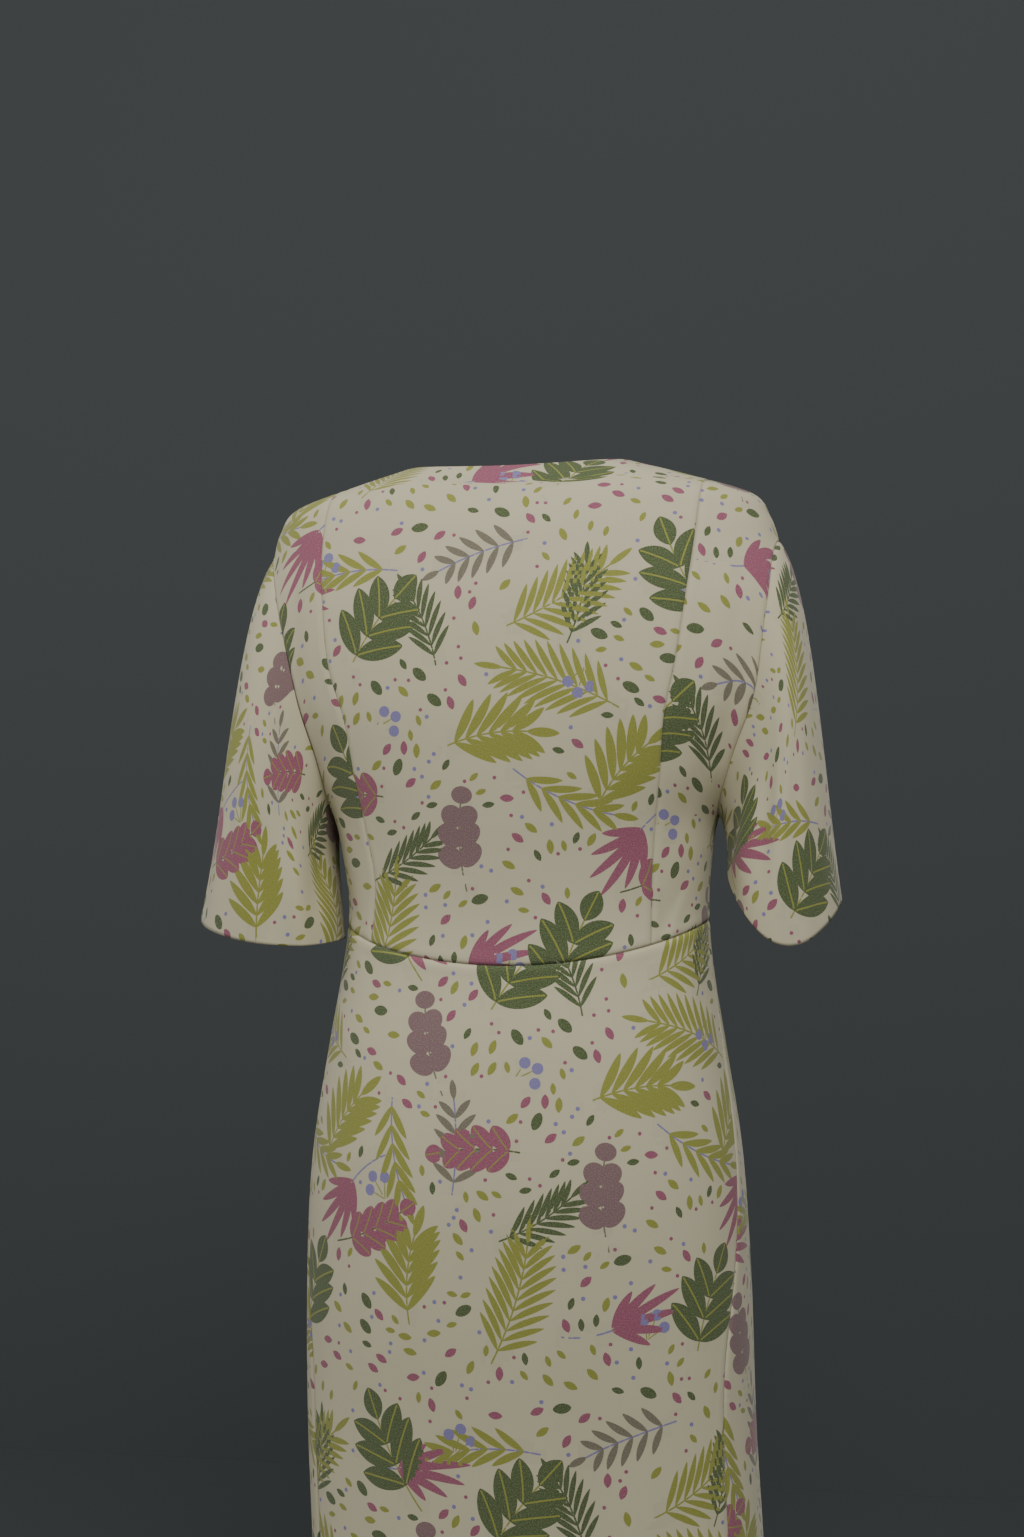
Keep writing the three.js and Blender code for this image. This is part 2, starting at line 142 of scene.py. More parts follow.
def read(levels, values, z):
    """A column of a table at levels z: a cubic through the rows whose slope is each row's mean slope."""
    levels, values = np.array(levels, float), np.array(values, float)
    steps = np.diff(values) / np.diff(levels)
    slopes = np.concatenate([steps[:1], (steps[:-1] + steps[1:]) / 2, steps[-1:]])
    i = np.clip(np.searchsorted(-levels, -z, side="right") - 1, 0, len(levels) - 2)
    span = levels[i + 1] - levels[i]
    t = np.clip((z - levels[i]) / span, 0, 1)
    start = values[i] * (2 * t**3 - 3 * t**2 + 1) + slopes[i] * span * (t**3 - 2 * t**2 + t)
    return start + values[i + 1] * (3 * t**2 - 2 * t**3) + slopes[i + 1] * span * (t**3 - t**2)


def armhole_depth(z):
    """Half an ellipse over the level: how far the armhole's edge lies behind or before the side."""
    middle, reach = (SHOULDER_TIP + UNDERARM) / 2, (SHOULDER_TIP - UNDERARM) / 2
    return ARMHOLE_HALF_DEPTH * np.sqrt(np.clip(1 - ((z - middle) / reach) ** 2, 0, None))


def edge_distance(z, hand, side):
    """The full half width, narrowed as the oval is at the armhole's depth."""
    share = armhole_depth(z) / read(LEVEL, BODY[side], z)
    return read(LEVEL, BODY[hand], z) * (1 - share**FULLNESS) ** (1 / FULLNESS)


def half_width(x, z):
    """The oval's half width on the side where x is."""
    return np.where(x >= 0, read(LEVEL, BODY["left"], z), read(LEVEL, BODY["right"], z))


def waist_level(x, side):
    """The waist seam: the side's level, less a dip that grows as a power of the squared nearness."""
    inward = np.clip(1 - (x / half_width(x, np.full_like(x, WAIST_SIDE))) ** 2, 0, None)
    return WAIST_SIDE - WAIST_DIP[side] * inward**0.85


# Creases in the body of the dress, as columns: side, x where it is deepest, its level there, how far it
# reaches up and down, its lean, its half width and its depth. Some are hollows and some are ridges.
CREASES = [
    ("back", -84, -1050, 330, 0.03, 20, 4.5), ("back", -30, -1050, 240, -0.03, 22, -3),
    ("back", 52, -1050, 200, 0.03, 24, 3), ("back", 138, -1050, 220, -0.03, 18, 4),
    ("front", -118, -1050, 300, 0.02, 22, 4), ("front", -46, -1050, 360, 0.03, 24, 4.5),
    ("front", 38, -1050, 260, -0.03, 22, 3.5), ("front", 112, -1050, 330, -0.03, 22, 4.5),
    ("back", -146, -382, 34, -0.25, 4.5, 1.6), ("back", -138, -372, 40, -0.32, 4, 1.4),
    ("back", -128, -385, 30, -0.3, 4.5, 1.2), ("back", -150, -350, 26, -0.5, 4, 1.2),
    ("back", 144, -392, 26, 0.3, 5, 1.1), ("back", 134, -400, 30, 0.35, 5, 1.0),
    ("back", 180, -250, 60, 0.25, 9, 2.6), ("back", 158, -262, 70, 0.35, 10, 1.6),
    ("back", -182, -235, 62, -0.3, 9, 2.4), ("back", -164, -262, 60, -0.42, 8, 1.6),
    ("back", -192, -150, 70, -0.06, 8, 1.6), ("back", 186, -140, 60, 0.05, 8, 1.4),
    ("back", -60, -900, 120, 0.1, 14, 2.2), ("back", 96, -940, 110, -0.05, 13, 2.4),
    ("back", -20, -448, 34, 0.9, 9, 0.8), ("back", 60, -455, 30, -0.7, 9, 0.8),
    ("front", 144, -388, 34, 0.3, 5, 1.3), ("front", -142, -384, 32, -0.3, 5, 1.3),
    ("front", 172, -240, 60, 0.3, 10, 2.6), ("front", -174, -242, 62, -0.3, 10, 2.6),
    ("front", 120, -170, 70, 0.5, 12, 1.6), ("front", -118, -165, 72, -0.5, 12, 1.6),
]


def crease_depth(x, z, side):
    """The sum of soft troughs: a bell across each one's leaning line times a bell along it."""
    depth = np.zeros_like(x)
    for row_side, at, level, reach, lean, width, deep in CREASES:
        if row_side == side:
            off = (x - at - lean * (z - level)) / width
            depth += deep * np.exp(-(off**2)) * np.exp(-(((z - level) / reach) ** 2))
    return depth


RIPPLE_WAVES, RIPPLE_LENGTHS, RIPPLE_HEIGHT = 14, (28, 130), 0.16


def ripple(x, z, seed):
    """The small unevenness of soft jersey: a sum of slow waves in seeded directions, under 1 mm."""
    random = np.random.default_rng(seed)
    height = np.zeros_like(x)
    for _ in range(RIPPLE_WAVES):
        turn, phase = random.uniform(0, 2 * np.pi, 2)
        length = random.uniform(*RIPPLE_LENGTHS)
        along = x * np.cos(turn) + z * np.sin(turn) * 0.6
        height += length / RIPPLE_LENGTHS[1] * np.sin(2 * np.pi * along / length + phase)
    return RIPPLE_HEIGHT * height


def body_point(x, z, side):
    """A point of the dress: the oval's depth at x, less the creases, to the back or the front."""
    share = np.clip(np.abs(x) / half_width(x, z), 0, 1)
    depth = read(LEVEL, BODY[side], z) * (1 - share**FULLNESS) ** (1 / FULLNESS)
    ease = np.clip((1 - share) * 6, 0, 1) * np.clip(-z / 40, 0, 1)
    depth = depth - (crease_depth(x, z, side) + ripple(x, z, 7)) * ease
    return np.stack([x, depth if side == "back" else -depth, z], axis=-1)


def across(start, end, share, z):
    """Goes from one x to another evenly in the turn whose sine is the share of the half width."""
    turn = lambda x: np.arcsin(np.clip(x / half_width(x, z), -1, 1))
    at = turn(start) + (turn(end) - turn(start)) * share
    return np.sin(at) * half_width(at, z)


def edge(hand, side):
    """The signed x where a panel's section ends at the side or the armhole."""
    sign = 1 if hand == "left" else -1
    return lambda z: sign * edge_distance(z, hand, side)


def princess(hand):
    """The signed x of a princess seam, or of the shoulder seam above the point where they meet."""
    sign = 1 if hand == "left" else -1
    seam = lambda z: read(PRINCESS_LEVEL, PRINCESS[hand], z)
    return lambda z: sign * np.minimum(seam(z), read(LEVEL, BODY[hand], z))


def neck(hand):
    """The signed x of the front neckline, a quarter ellipse, and nought below it."""
    sign = 1 if hand == "left" else -1
    curve = lambda z: NECK_HALF_WIDTH * np.sqrt(1 - np.clip(-z / FRONT_NECK_DROP, 0, 1) ** 2)
    return lambda z: sign * np.minimum(curve(z), read(LEVEL, BODY[hand], z))


def bodice_panel(side, inner, outer, columns, rows):
    """A grid of levels by shares: the shoulder's levels are close together, the rest even to the waist."""
    share = np.linspace(0, 1, columns + 1)[None, :]
    foot = np.full((1, columns + 1), float(WAIST_SIDE))
    for _ in range(8):
        x = across(inner(foot), outer(foot), share, foot)
        foot = waist_level(x, side)
    shoulder = SHOULDER_TIP * np.linspace(0, 1, rows // 5, endpoint=False) ** 1.6
    reach = (SHOULDER_TIP - UNDERARM) / 2
    armhole = SHOULDER_TIP - reach * (1 - np.cos(np.linspace(0, np.pi, rows // 2, endpoint=False)))
    top = np.concatenate([shoulder, armhole])[:, None] + 0 * share
    rib = np.linspace(0, 1, rows // 4)[:, None]
    z = np.concatenate([top, UNDERARM + (foot - UNDERARM) * rib])
    x = across(inner(z), outer(z), np.broadcast_to(share, z.shape), z)
    return x, z


# The print. The jersey is roller-printed with a generic botanical repeat: fern fronds, oval-leaved
# sprigs with pale midribs, plum sprigs, tufts, berries and loose seeds, in flat colours on cream.
# Every leaf is one row of a table: centre, turn, half length, half width, bend, fullness and colour.
CREAM, LIME, GREEN, PLUM, MAUVE, LILAC, TAUPE = range(7)
REPEAT = (372, 436)
MIDRIB = 8


def leaf(x, z, turn, length, width, colour, bend=0.0, fullness=0.8):
    """One leaf as a row: it starts at x, z and runs for its length along its turn."""
    half = length / 2
    middle = (x + half * math.cos(turn), z + half * math.sin(turn))
    return (*middle, turn, half, width / 2, bend, fullness, colour)


def stem(x, z, turn, length, bend, colour, thick=1.5):
    """A stem as short straight rows along a path that turns evenly, and the points along it."""
    steps = max(3, int(length / 7))
    turns = turn + bend * (np.arange(steps) + 0.5) / steps
    step = length / steps
    xs = x + np.concatenate([[0], np.cumsum(np.cos(turns) * step)])
    zs = z + np.concatenate([[0], np.cumsum(np.sin(turns) * step)])
    rows = [leaf(xs[i], zs[i], turns[i], step * 1.25, thick, colour, 0, 0.12) for i in range(steps)]
    path = lambda share: (
        float(np.interp(share * steps, range(steps + 1), xs)),
        float(np.interp(share * steps, range(steps + 1), zs)),
        float(turn + bend * share),
    )
    return rows, path


def frond(
    x, z, turn, length, bend, colour, pairs, long, wide, spread, stem_colour, start=0.18, fullness=0.75
):
    """Pairs of leaves along a curved stem, longest past its middle, and one at its tip."""
    stems, path = stem(x, z, turn, length, bend, stem_colour)
    leaves = []
    for i in range(pairs):
        share = start + (0.97 - start) * i / pairs
        at_x, at_z, heading = path(share)
        size = math.sin(math.pi * (0.22 + 0.66 * share)) ** 0.7
        for hand in (1, -1):
            tilt = hand * spread * (1.05 - 0.35 * share)
            leaves.append(leaf(at_x, at_z, heading + tilt, long * size, wide, colour, -hand * 0.05, fullness))
    at_x, at_z, heading = path(1)
    leaves.append(leaf(at_x, at_z, heading, long * 0.62, wide, colour, 0, fullness))
    return leaves, stems


def tuft(x, z, turn, colour, stem_colour):
    """Long pointed leaves fanned from the end of a short stem."""
    stems, path = stem(x, z, turn, 42, 0.5, stem_colour)
    at_x, at_z, heading = path(1)
    fan = [(-0.75, 34), (-0.4, 48), (-0.12, 60), (0.14, 66), (0.42, 52), (0.72, 36)]
    return [leaf(at_x, at_z, heading + tilt, long, 7.5, colour, 0.06, 0.7) for tilt, long in fan], stems


def berries(x, z, turn, colour, stem_colour):
    """Three round berries on short stalks."""
    leaves, stems = [], []
    for tilt, long in ((-0.5, 13), (0.1, 17), (0.65, 12)):
        stems.append(leaf(x, z, turn + tilt, long, 1.1, stem_colour, 0, 0.12))
        tip_x, tip_z = x + long * math.cos(turn + tilt), z + long * math.sin(turn + tilt)
        leaves.append(leaf(tip_x, tip_z, turn + tilt, 9.5, 9.5, colour, 0, 0.5))
    return leaves, stems


# The repeat's large motifs, set out one by one: kind, x, z and turn in degrees
LAYOUT = [
    ("fern", 20, 20, 62), ("fern", 250, 262, 150), ("fern", 150, 330, 20),
    ("palm", 322, 48, 100), ("palm", 100, 232, 24), ("palm", 226, 176, 66),
    ("dark_sprig", 190, 10, 80), ("dark_sprig", 12, 292, 64), ("dark_sprig", 330, 330, 128),
    ("plum_sprig", 246, 110, 12), ("plum_sprig", 56, 190, 168),
    ("mauve_sprig", 352, 236, 116), ("mauve_sprig", 118, 112, 104),
    ("tuft", 268, 372, -28), ("tuft", 78, 44, -8), ("tuft", 300, 186, 200),
    ("taupe", 176, 408, 190), ("taupe", 360, 150, 80),
    ("willow", 160, 214, -40), ("willow", 306, 240, -96), ("willow", 60, 384, 170),
    ("dark_fern", 206, 316, 66), ("dark_fern", 28, 120, 20), ("dark_fern", 96, 300, 100),
    ("berries", 148, 40, 60), ("berries", 300, 150, 120), ("berries", 40, 250, 20),
    ("berries", 220, 296, 250), ("berries", 360, 380, 70),
]


def motif(kind, x, z, turn):
    """The leaves and stems of one large motif."""
    if kind == "fern":
        return frond(x, z, turn, 104, 0.35, LIME, 10, 40, 5.4, 0.86, LIME, 0.12, 0.8)
    if kind == "palm":
        return frond(x, z, turn, 74, -0.5, LIME, 6, 44, 8, 0.8, LIME, 0.16)
    if kind == "dark_fern":
        return frond(x, z, turn, 70, 0.4, GREEN, 7, 32, 4.6, 0.7, GREEN, 0.14)
    if kind == "dark_sprig":
        return frond(x, z, turn, 82, -0.3, GREEN + MIDRIB, 3, 44, 19, 0.95, LIME, 0.3, 0.8)
    if kind == "plum_sprig":
        return frond(x, z, turn, 76, 0.4, PLUM + MIDRIB, 4, 25, 15, 0.9, GREEN, 0.26, 0.6)
    if kind == "mauve_sprig":
        return frond(x, z, turn, 74, -0.4, MAUVE, 3, 24, 18, 0.9, TAUPE, 0.3, 0.5)
    if kind == "taupe":
        return frond(x, z, turn, 84, 0.3, TAUPE, 5, 26, 6, 1.0, LILAC, 0.2)
    if kind == "willow":
        return frond(x, z, turn, 92, 0.5, LIME, 5, 34, 6.2, 0.55, LILAC, 0.15)
    if kind == "tuft":
        return tuft(x, z, turn, PLUM, LILAC)
    return berries(x, z, turn, LILAC, LIME)


def outline_points(rows):
    """Points along the middle and both sides of every row, for the spacing of what is scattered."""
    cx, cz, turn, half, width = np.array(rows)[:, :5].T[:, :, None]
    along = np.linspace(-1, 1, 9)[None, :]
    side = np.array([-1, 0, 1])[:, None, None] * width * (1 - along**2)
    x = cx + half * along * np.cos(turn) - side * np.sin(turn)
    z = cz + half * along * np.sin(turn) + side * np.cos(turn)
    return np.stack([x, z], axis=-1).reshape(-1, 2)


SCATTER_GAP = 2.4


def repeat_rows():
    """The repeat: the large motifs, then seeds and dots wherever there is room."""
    leaves, stems = [], []
    for kind, x, z, turn in LAYOUT:
        more_leaves, more_stems = motif(kind, x, z, math.radians(turn))
        leaves += more_leaves
        stems += more_stems
    random = np.random.default_rng(23)
    size = np.array(REPEAT, float)
    taken = outline_points(leaves + stems)

    def room(x, z, clear):
        off = np.abs(taken - (x, z)) % size
        return np.hypot(*np.minimum(off, size - off).T).min() > clear

    # What is scattered: colour, length, width, fullness and how many places are tried
    seeds = [
        (GREEN, 15, 8.5, 0.6, 40), (LIME, 12.5, 6, 0.8, 150), (PLUM, 12, 6.4, 0.8, 170),
        (GREEN, 10.5, 5.2, 0.75, 130), (LIME, 9.5, 4.6, 0.75, 260),
        (LILAC, 3.6, 3.6, 0.5, 260), (PLUM, 3.2, 3.2, 0.5, 220),
    ]
    for colour, long, wide, fullness, tries in seeds:
        for _ in range(tries):
            x, z = random.uniform(0, 1, 2) * size
            turn = math.sin(x / 58) * 1.3 + math.cos(z / 47) * 1.1 + random.uniform(-0.35, 0.35)
            if room(x, z, long / 2 + SCATTER_GAP):
                start = (x - math.cos(turn) * long / 2, z - math.sin(turn) * long / 2)
                row = leaf(*start, turn, long, wide, colour, 0, fullness)
                leaves.append(row)
                taken = np.concatenate([taken, outline_points([row])])
    return np.array(leaves), np.array(stems)


LEAVES, STEMS = repeat_rows()


def nearest_leaf(corners, rows, skip=None):
    """For each face, the row whose outline is nearest its middle: at the face's corners, how far along and
    how far across that row they are, as shares of its half length and half width, and its fullness and
    colour. skip leaves out one row for each face. Rows repeat with the print."""
    middle = corners.mean(axis=1)
    low, high = middle.min(axis=0), middle.max(axis=0)
    best = np.full(len(middle), 1e9)
    owner = np.full(len(middle), -1)
    data = np.zeros(corners.shape[:2] + (3,))
    data[..., 0] = 9
    order = np.argsort(middle[:, 1])
    sorted_z = middle[order, 1]
    name = 0
    for shift_x in range(int(low[0] // REPEAT[0]) - 1, int(high[0] // REPEAT[0]) + 2):
        for shift_z in range(int(low[1] // REPEAT[1]) - 1, int(high[1] // REPEAT[1]) + 2):
            for cx, cz, turn, half, width, bend, fullness, colour in rows:
                name += 1
                cx_here, cz_here = cx + shift_x * REPEAT[0], cz + shift_z * REPEAT[1]
                inside_x = low[0] - half < cx_here < high[0] + half
                if not (inside_x and low[1] - half < cz_here < high[1] + half):
                    continue
                reach = half + 5
                first, last = np.searchsorted(sorted_z, [cz_here - reach, cz_here + reach])
                near_faces = order[first:last]
                near_faces = near_faces[np.abs(middle[near_faces, 0] - cx_here) < reach]
                if not len(near_faces):
                    continue
                cos, sin = math.cos(turn), math.sin(turn)

                def local(points):
                    off_x, off_z = points[..., 0] - cx_here, points[..., 1] - cz_here
                    along = (off_x * cos + off_z * sin) / half
                    over = (off_z * cos - off_x * sin) - bend * half * (1 - along**2)
                    return along, over

                along, over = local(middle[near_faces])
                body = width * np.clip(1 - along**2, 0, 1) ** fullness
                beside, beyond = np.clip(np.abs(over) - body, 0, None), np.clip(np.abs(along) - 1, 0, None)
                gap = np.hypot(beside, beyond * half)
                gap = np.where(gap > 0, gap, (np.abs(over) - body) * 0.2)
                better = gap < best[near_faces]
                if skip is not None:
                    better &= skip[near_faces] != name
                chosen = near_faces[better]
                if not len(chosen):
                    continue
                best[chosen] = gap[better]
                owner[chosen] = name
                along, over = local(corners[chosen])
                code = np.full(along.shape, colour + fullness)
                data[chosen] = np.stack([along, over / width, code], axis=-1)
    return data, owner


def add_print(mesh, corners, kept):
    """Writes the print's three face-corner attributes, first leaf, next leaf and stem, and the cloth's UV."""
    first, owner = nearest_leaf(corners, LEAVES)
    following, _ = nearest_leaf(corners, LEAVES, skip=owner)
    twigs, _ = nearest_leaf(corners, STEMS)
    for name, values in (("first_leaf", first), ("next_leaf", following), ("stem", twigs)):
        mesh.attributes.new(name, "FLOAT_VECTOR", "CORNER").data.foreach_set("vector", values[kept].ravel())
    mesh.uv_layers.new(name="cloth").data.foreach_set("uv", (corners[kept] * MM).ravel())


class Sum:
    """A number that a material works out, so that its formula can be written as one."""

    def __init__(self, tree, socket):
        self.tree, self.socket = tree, socket

    def node(self, operation, *others, clamp=False):
        made = self.tree.nodes.new("ShaderNodeMath")
        made.operation, made.use_clamp = operation, clamp
        for i, value in enumerate((self, *others)):
            if isinstance(value, Sum):
                self.tree.links.new(value.socket, made.inputs[i])
            else:
                made.inputs[i].default_value = value
        return Sum(self.tree, made.outputs[0])

    def __add__(self, other):
        return self.node("ADD", other)

    def __sub__(self, other):
        return self.node("SUBTRACT", other)

    def __mul__(self, other):
        return self.node("MULTIPLY", other)

    def __truediv__(self, other):
        return self.node("DIVIDE", other)

    def __gt__(self, other):
        return self.node("GREATER_THAN", other)


def attribute(tree, name):
    """The three numbers of a vector attribute."""
    source = tree.nodes.new("ShaderNodeAttribute")
    source.attribute_name = name
    split = tree.nodes.new("ShaderNodeSeparateXYZ")
    tree.links.new(source.outputs["Vector"], split.inputs[0])
    return [Sum(tree, output) for output in split.outputs]


def blend(tree, share, under, over):
    """One colour over another by a share."""
    mix = tree.nodes.new("ShaderNodeMix")
    mix.data_type = "RGBA"
    for socket, value in ((mix.inputs[0], share), (mix.inputs[6], under), (mix.inputs[7], over)):
        if isinstance(value, (Sum, bpy.types.NodeSocket)):
            tree.links.new(value.socket if isinstance(value, Sum) else value, socket)
        else:
            socket.default_value = value
    return mix.outputs[2]


INKS = [
    (0.66, 0.60, 0.40), (0.30, 0.31, 0.045), (0.075, 0.115, 0.038), (0.34, 0.082, 0.155),
    (0.235, 0.135, 0.145), (0.235, 0.205, 0.44), (0.20, 0.175, 0.125),
]


def ink(tree, code):
    """The ink of a colour number, held in steps on a ramp."""
    ramp = tree.nodes.new("ShaderNodeValToRGB")
    ramp.color_ramp.interpolation = "CONSTANT"
    while len(ramp.color_ramp.elements) < len(INKS):
        ramp.color_ramp.elements.new(1)
    for i, colour in enumerate(INKS):
        ramp.color_ramp.elements[i].position = i / 8
        ramp.color_ramp.elements[i].color = (*colour, 1)
    tree.links.new((code / 8).socket, ramp.inputs[0])
    return ramp.outputs[0]


def printed(tree, name, under):
    """Lays one attribute's leaves over a colour: inside where the share across is less than one less the
    squared share along, to the leaf's fullness. Leaves numbered past MIDRIB get a pale line down them."""
    along, over, code = attribute(tree, name)
    veined = code > MIDRIB
    code = code - veined * MIDRIB
    colour = code.node("FLOOR")
    inward = (along * along) * -1 + 1
    profile = inward.node("MAXIMUM", 0).node("POWER", code.node("FRACT"))
    across_leaf = over.node("ABSOLUTE")
    inside = profile > across_leaf
    rib = veined * ((across_leaf * -1 + 0.075) > 0) * (inward > 0.16)
    with_rib = blend(tree, rib, ink(tree, colour + 0.5), (*INKS[LIME], 1))
    return blend(tree, inside, under, with_rib)


def jersey(name, inner):
    """Matte viscose jersey: the print, or its pale reverse, with heather flecks, knit ribs and soft fuzz."""
    material = bpy.data.materials.new(name)
    material.use_nodes = True
    tree = material.node_tree
    shader = tree.nodes["Principled BSDF"]
    shader.inputs["Roughness"].default_value = 0.86
    shader.inputs["Specular IOR Level"].default_value = 0.22
    shader.inputs["Sheen Weight"].default_value = 0.28
    shader.inputs["Sheen Roughness"].default_value = 0.5
    shader.inputs["Sheen Tint"].default_value = (0.9, 0.88, 0.8, 1)
    spot = tree.nodes.new("ShaderNodeUVMap")
    spot.uv_map = "cloth"
    fleck = tree.nodes.new("ShaderNodeTexNoise")
    fleck.inputs["Scale"].default_value = 900
    fleck.inputs["Detail"].default_value = 3
    tree.links.new(spot.outputs[0], fleck.inputs["Vector"])
    cloud = tree.nodes.new("ShaderNodeTexNoise")
    cloud.inputs["Scale"].default_value = 9
    tree.links.new(spot.outputs[0], cloud.inputs["Vector"])
    ground = blend(tree, Sum(tree, cloud.outputs[0]), (*INKS[CREAM], 1), (0.60, 0.55, 0.37, 1))
    colour = ground
    for layer in ("stem", "next_leaf", "first_leaf"):
        colour = printed(tree, layer, colour)
    worn = (Sum(tree, fleck.outputs[0]) - 0.42).node("MULTIPLY", 0.9, clamp=True)
    colour = blend(tree, worn, colour, ground)
    if inner:
        colour = blend(tree, 0.62, colour, (0.56, 0.52, 0.38, 1))
    tree.links.new(colour, shader.inputs["Base Color"])
    knit = tree.nodes.new("ShaderNodeTexWave")
    knit.inputs["Scale"].default_value = 420
    knit.inputs["Distortion"].default_value = 2.2
    knit.inputs["Detail"].default_value = 1
    tree.links.new(spot.outputs[0], knit.inputs["Vector"])
    relief = Sum(tree, knit.outputs["Fac"]) * 0.5 + Sum(tree, fleck.outputs[0])
    bump = tree.nodes.new("ShaderNodeBump")
    bump.inputs["Strength"].default_value = 0.22
    bump.inputs["Distance"].default_value = 0.0003
    tree.links.new(relief.socket, bump.inputs["Height"])
    tree.links.new(bump.outputs[0], shader.inputs["Normal"])
    return material


OUTSIDE = jersey("printed_jersey", False)
REVERSE = jersey("jersey_reverse", True)


CLOTH_THICKNESS = 0.9


def face_groups(index):
    """The four-cornered faces of a grid of point numbers: each number, the next one down, the next one
    down and across, and the next one across."""
    return np.stack([index[:-1, :-1], index[1:, :-1], index[1:, 1:], index[:-1, 1:]], axis=-1).reshape(-1, 4)


def jersey_piece(name, points, flat, quads):
    """A panel of jersey from points and flat coordinates in millimetres, with the wall's thickness inwards.
    Points that lie on one spot become one, and faces that close up there become triangles or go."""
    _, first, number = np.unique(np.round(points, 3), axis=0, return_index=True, return_inverse=True)
    merged = number.reshape(-1)[quads]
    kept = merged != np.roll(merged, 1, axis=1)
    real = kept.sum(axis=1) >= 3
    faces = [face[keep].tolist() for face, keep in zip(merged[real], kept[real])]
    mesh = bpy.data.meshes.new(f"{name}_cloth")
    mesh.from_pydata((points[first] * MM).tolist(), [], faces)
    add_print(mesh, flat[quads[real]], kept[real])
    mesh.shade_smooth()
    mesh.materials.append(OUTSIDE)
    mesh.materials.append(REVERSE)
    piece = bpy.data.objects.new(f"{name}_cloth", mesh)
    bpy.context.scene.collection.objects.link(piece)
    wall = piece.modifiers.new("wall", "SOLIDIFY")
    wall.thickness = CLOTH_THICKNESS * MM
    wall.offset = -1
    wall.material_offset = 1
    wall.material_offset_rim = 0
    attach(piece, "root")
    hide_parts(name)
    return piece


def jersey_grid(name, points, flat):
    """A panel of jersey from a grid whose columns run so that its outside faces outwards."""
    grid = np.arange(points[..., 0].size).reshape(points.shape[:2])
    return jersey_piece(name, points.reshape(-1, 3), flat.reshape(-1, 2), face_groups(grid))


def lengths(points, axis):
    """The running length of a grid's lines along one axis: the sum of the steps between its points."""
    step = np.linalg.norm(np.diff(points, axis=axis), axis=-1)
    pad = [(0, 0), (0, 0)]
    pad[axis] = (1, 0)
    return np.pad(np.cumsum(step, axis=axis), pad)


def flat_of(points, middle=None):
    """Flat coordinates of a panel: girth from its column nearest the middle plane, or from a given one, and
    length up its lines from their feet, whose own levels are kept."""
    over, down = lengths(points, 1), lengths(points, 0)
    rows = np.arange(len(points))
    inset = np.zeros(len(points))
    if middle is None:
        middle = np.abs(points[..., 0]).argmin(axis=1)
        inset = points[rows, middle, 0] * np.sign(points[-1, -1, 0] - points[-1, 0, 0])
    girth = over - (over[rows, middle] - inset)[:, None]
    return np.stack([girth, down[-1:] - down + points[-1:, :, 2]], axis=-1)


# A seam draws the cloth in over a short reach, and the turnings under it raise a low bank beside it
SEAM_DEPTH, SEAM_REACH = 0.9, 2.4
BANK_HEIGHT, BANK_PLACE, BANK_REACH = 0.35, 5.5, 3


def sewn(points, left=True, right=True, top=False, bottom=False):
    """Moves a panel towards the body near its sewn edges: by a bell of the distance from the nearest sewn
    edge, less a lower bell whose middle lies a little way in."""
    near = np.full(points.shape[:2], 99.0)
    over, down = lengths(points, 1), lengths(points, 0)
    for is_sewn, distance in (
        (left, over), (right, over[:, -1:] - over), (top, down), (bottom, down[-1:] - down)
    ):
        if is_sewn:
            near = np.minimum(near, distance)
    bank = BANK_HEIGHT * np.exp(-(((near - BANK_PLACE) / BANK_REACH) ** 2))
    pinch = SEAM_DEPTH * np.exp(-((near / SEAM_REACH) ** 2)) - bank
    outward = points[..., :2] * (0.4, 1)
    outward = outward / np.maximum(np.linalg.norm(outward, axis=-1, keepdims=True), 1)
    moved = points.copy()
    moved[..., :2] -= outward * pinch[..., None]
    return moved


# The back bodice. The real one has a wide centre panel and two narrow side panels, each cut from the
# printed jersey in its own place on the repeat, so the print breaks at the curved seams between them.
BODICE_ROWS = 150
NECK_DIP_REACH = 60


def bodice_grid(side, inner, outer, columns):
    """A bodice panel's grid. The back neckline is lowered by a dip that falls off as the square of the
    distance from the middle, and dies away evenly down the reach."""
    x, z = bodice_panel(side, inner, outer, columns, BODICE_ROWS)
    points = body_point(x, z, side)
    if side == "back":
        dip = BACK_NECK_DIP * np.clip(1 - (x / NECK_HALF_WIDTH) ** 2, 0, None)
        points[..., 2] = z - dip * np.clip(1 + z / NECK_DIP_REACH, 0, 1)
    return points


# Each panel's edges, columns, place on the repeat, flat size and flat area
BACK = {
    "back_centre": (princess("left"), princess("right"), 116, (150, 40), (0.37, 0.44), 0.127),
    "back_side_left": (edge("left", "back"), princess("left"), 34, (60, 210), (0.11, 0.41), 0.027),
    "back_side_right": (princess("right"), edge("right", "back"), 34, (290, 130), (0.11, 0.41), 0.031),
}
for name, (inner, outer, columns, offset, size, area) in BACK.items():
    points = bodice_grid("back", inner, outer, columns)
    piece = jersey_grid(name, sewn(points, bottom=True), flat_of(points) + offset)

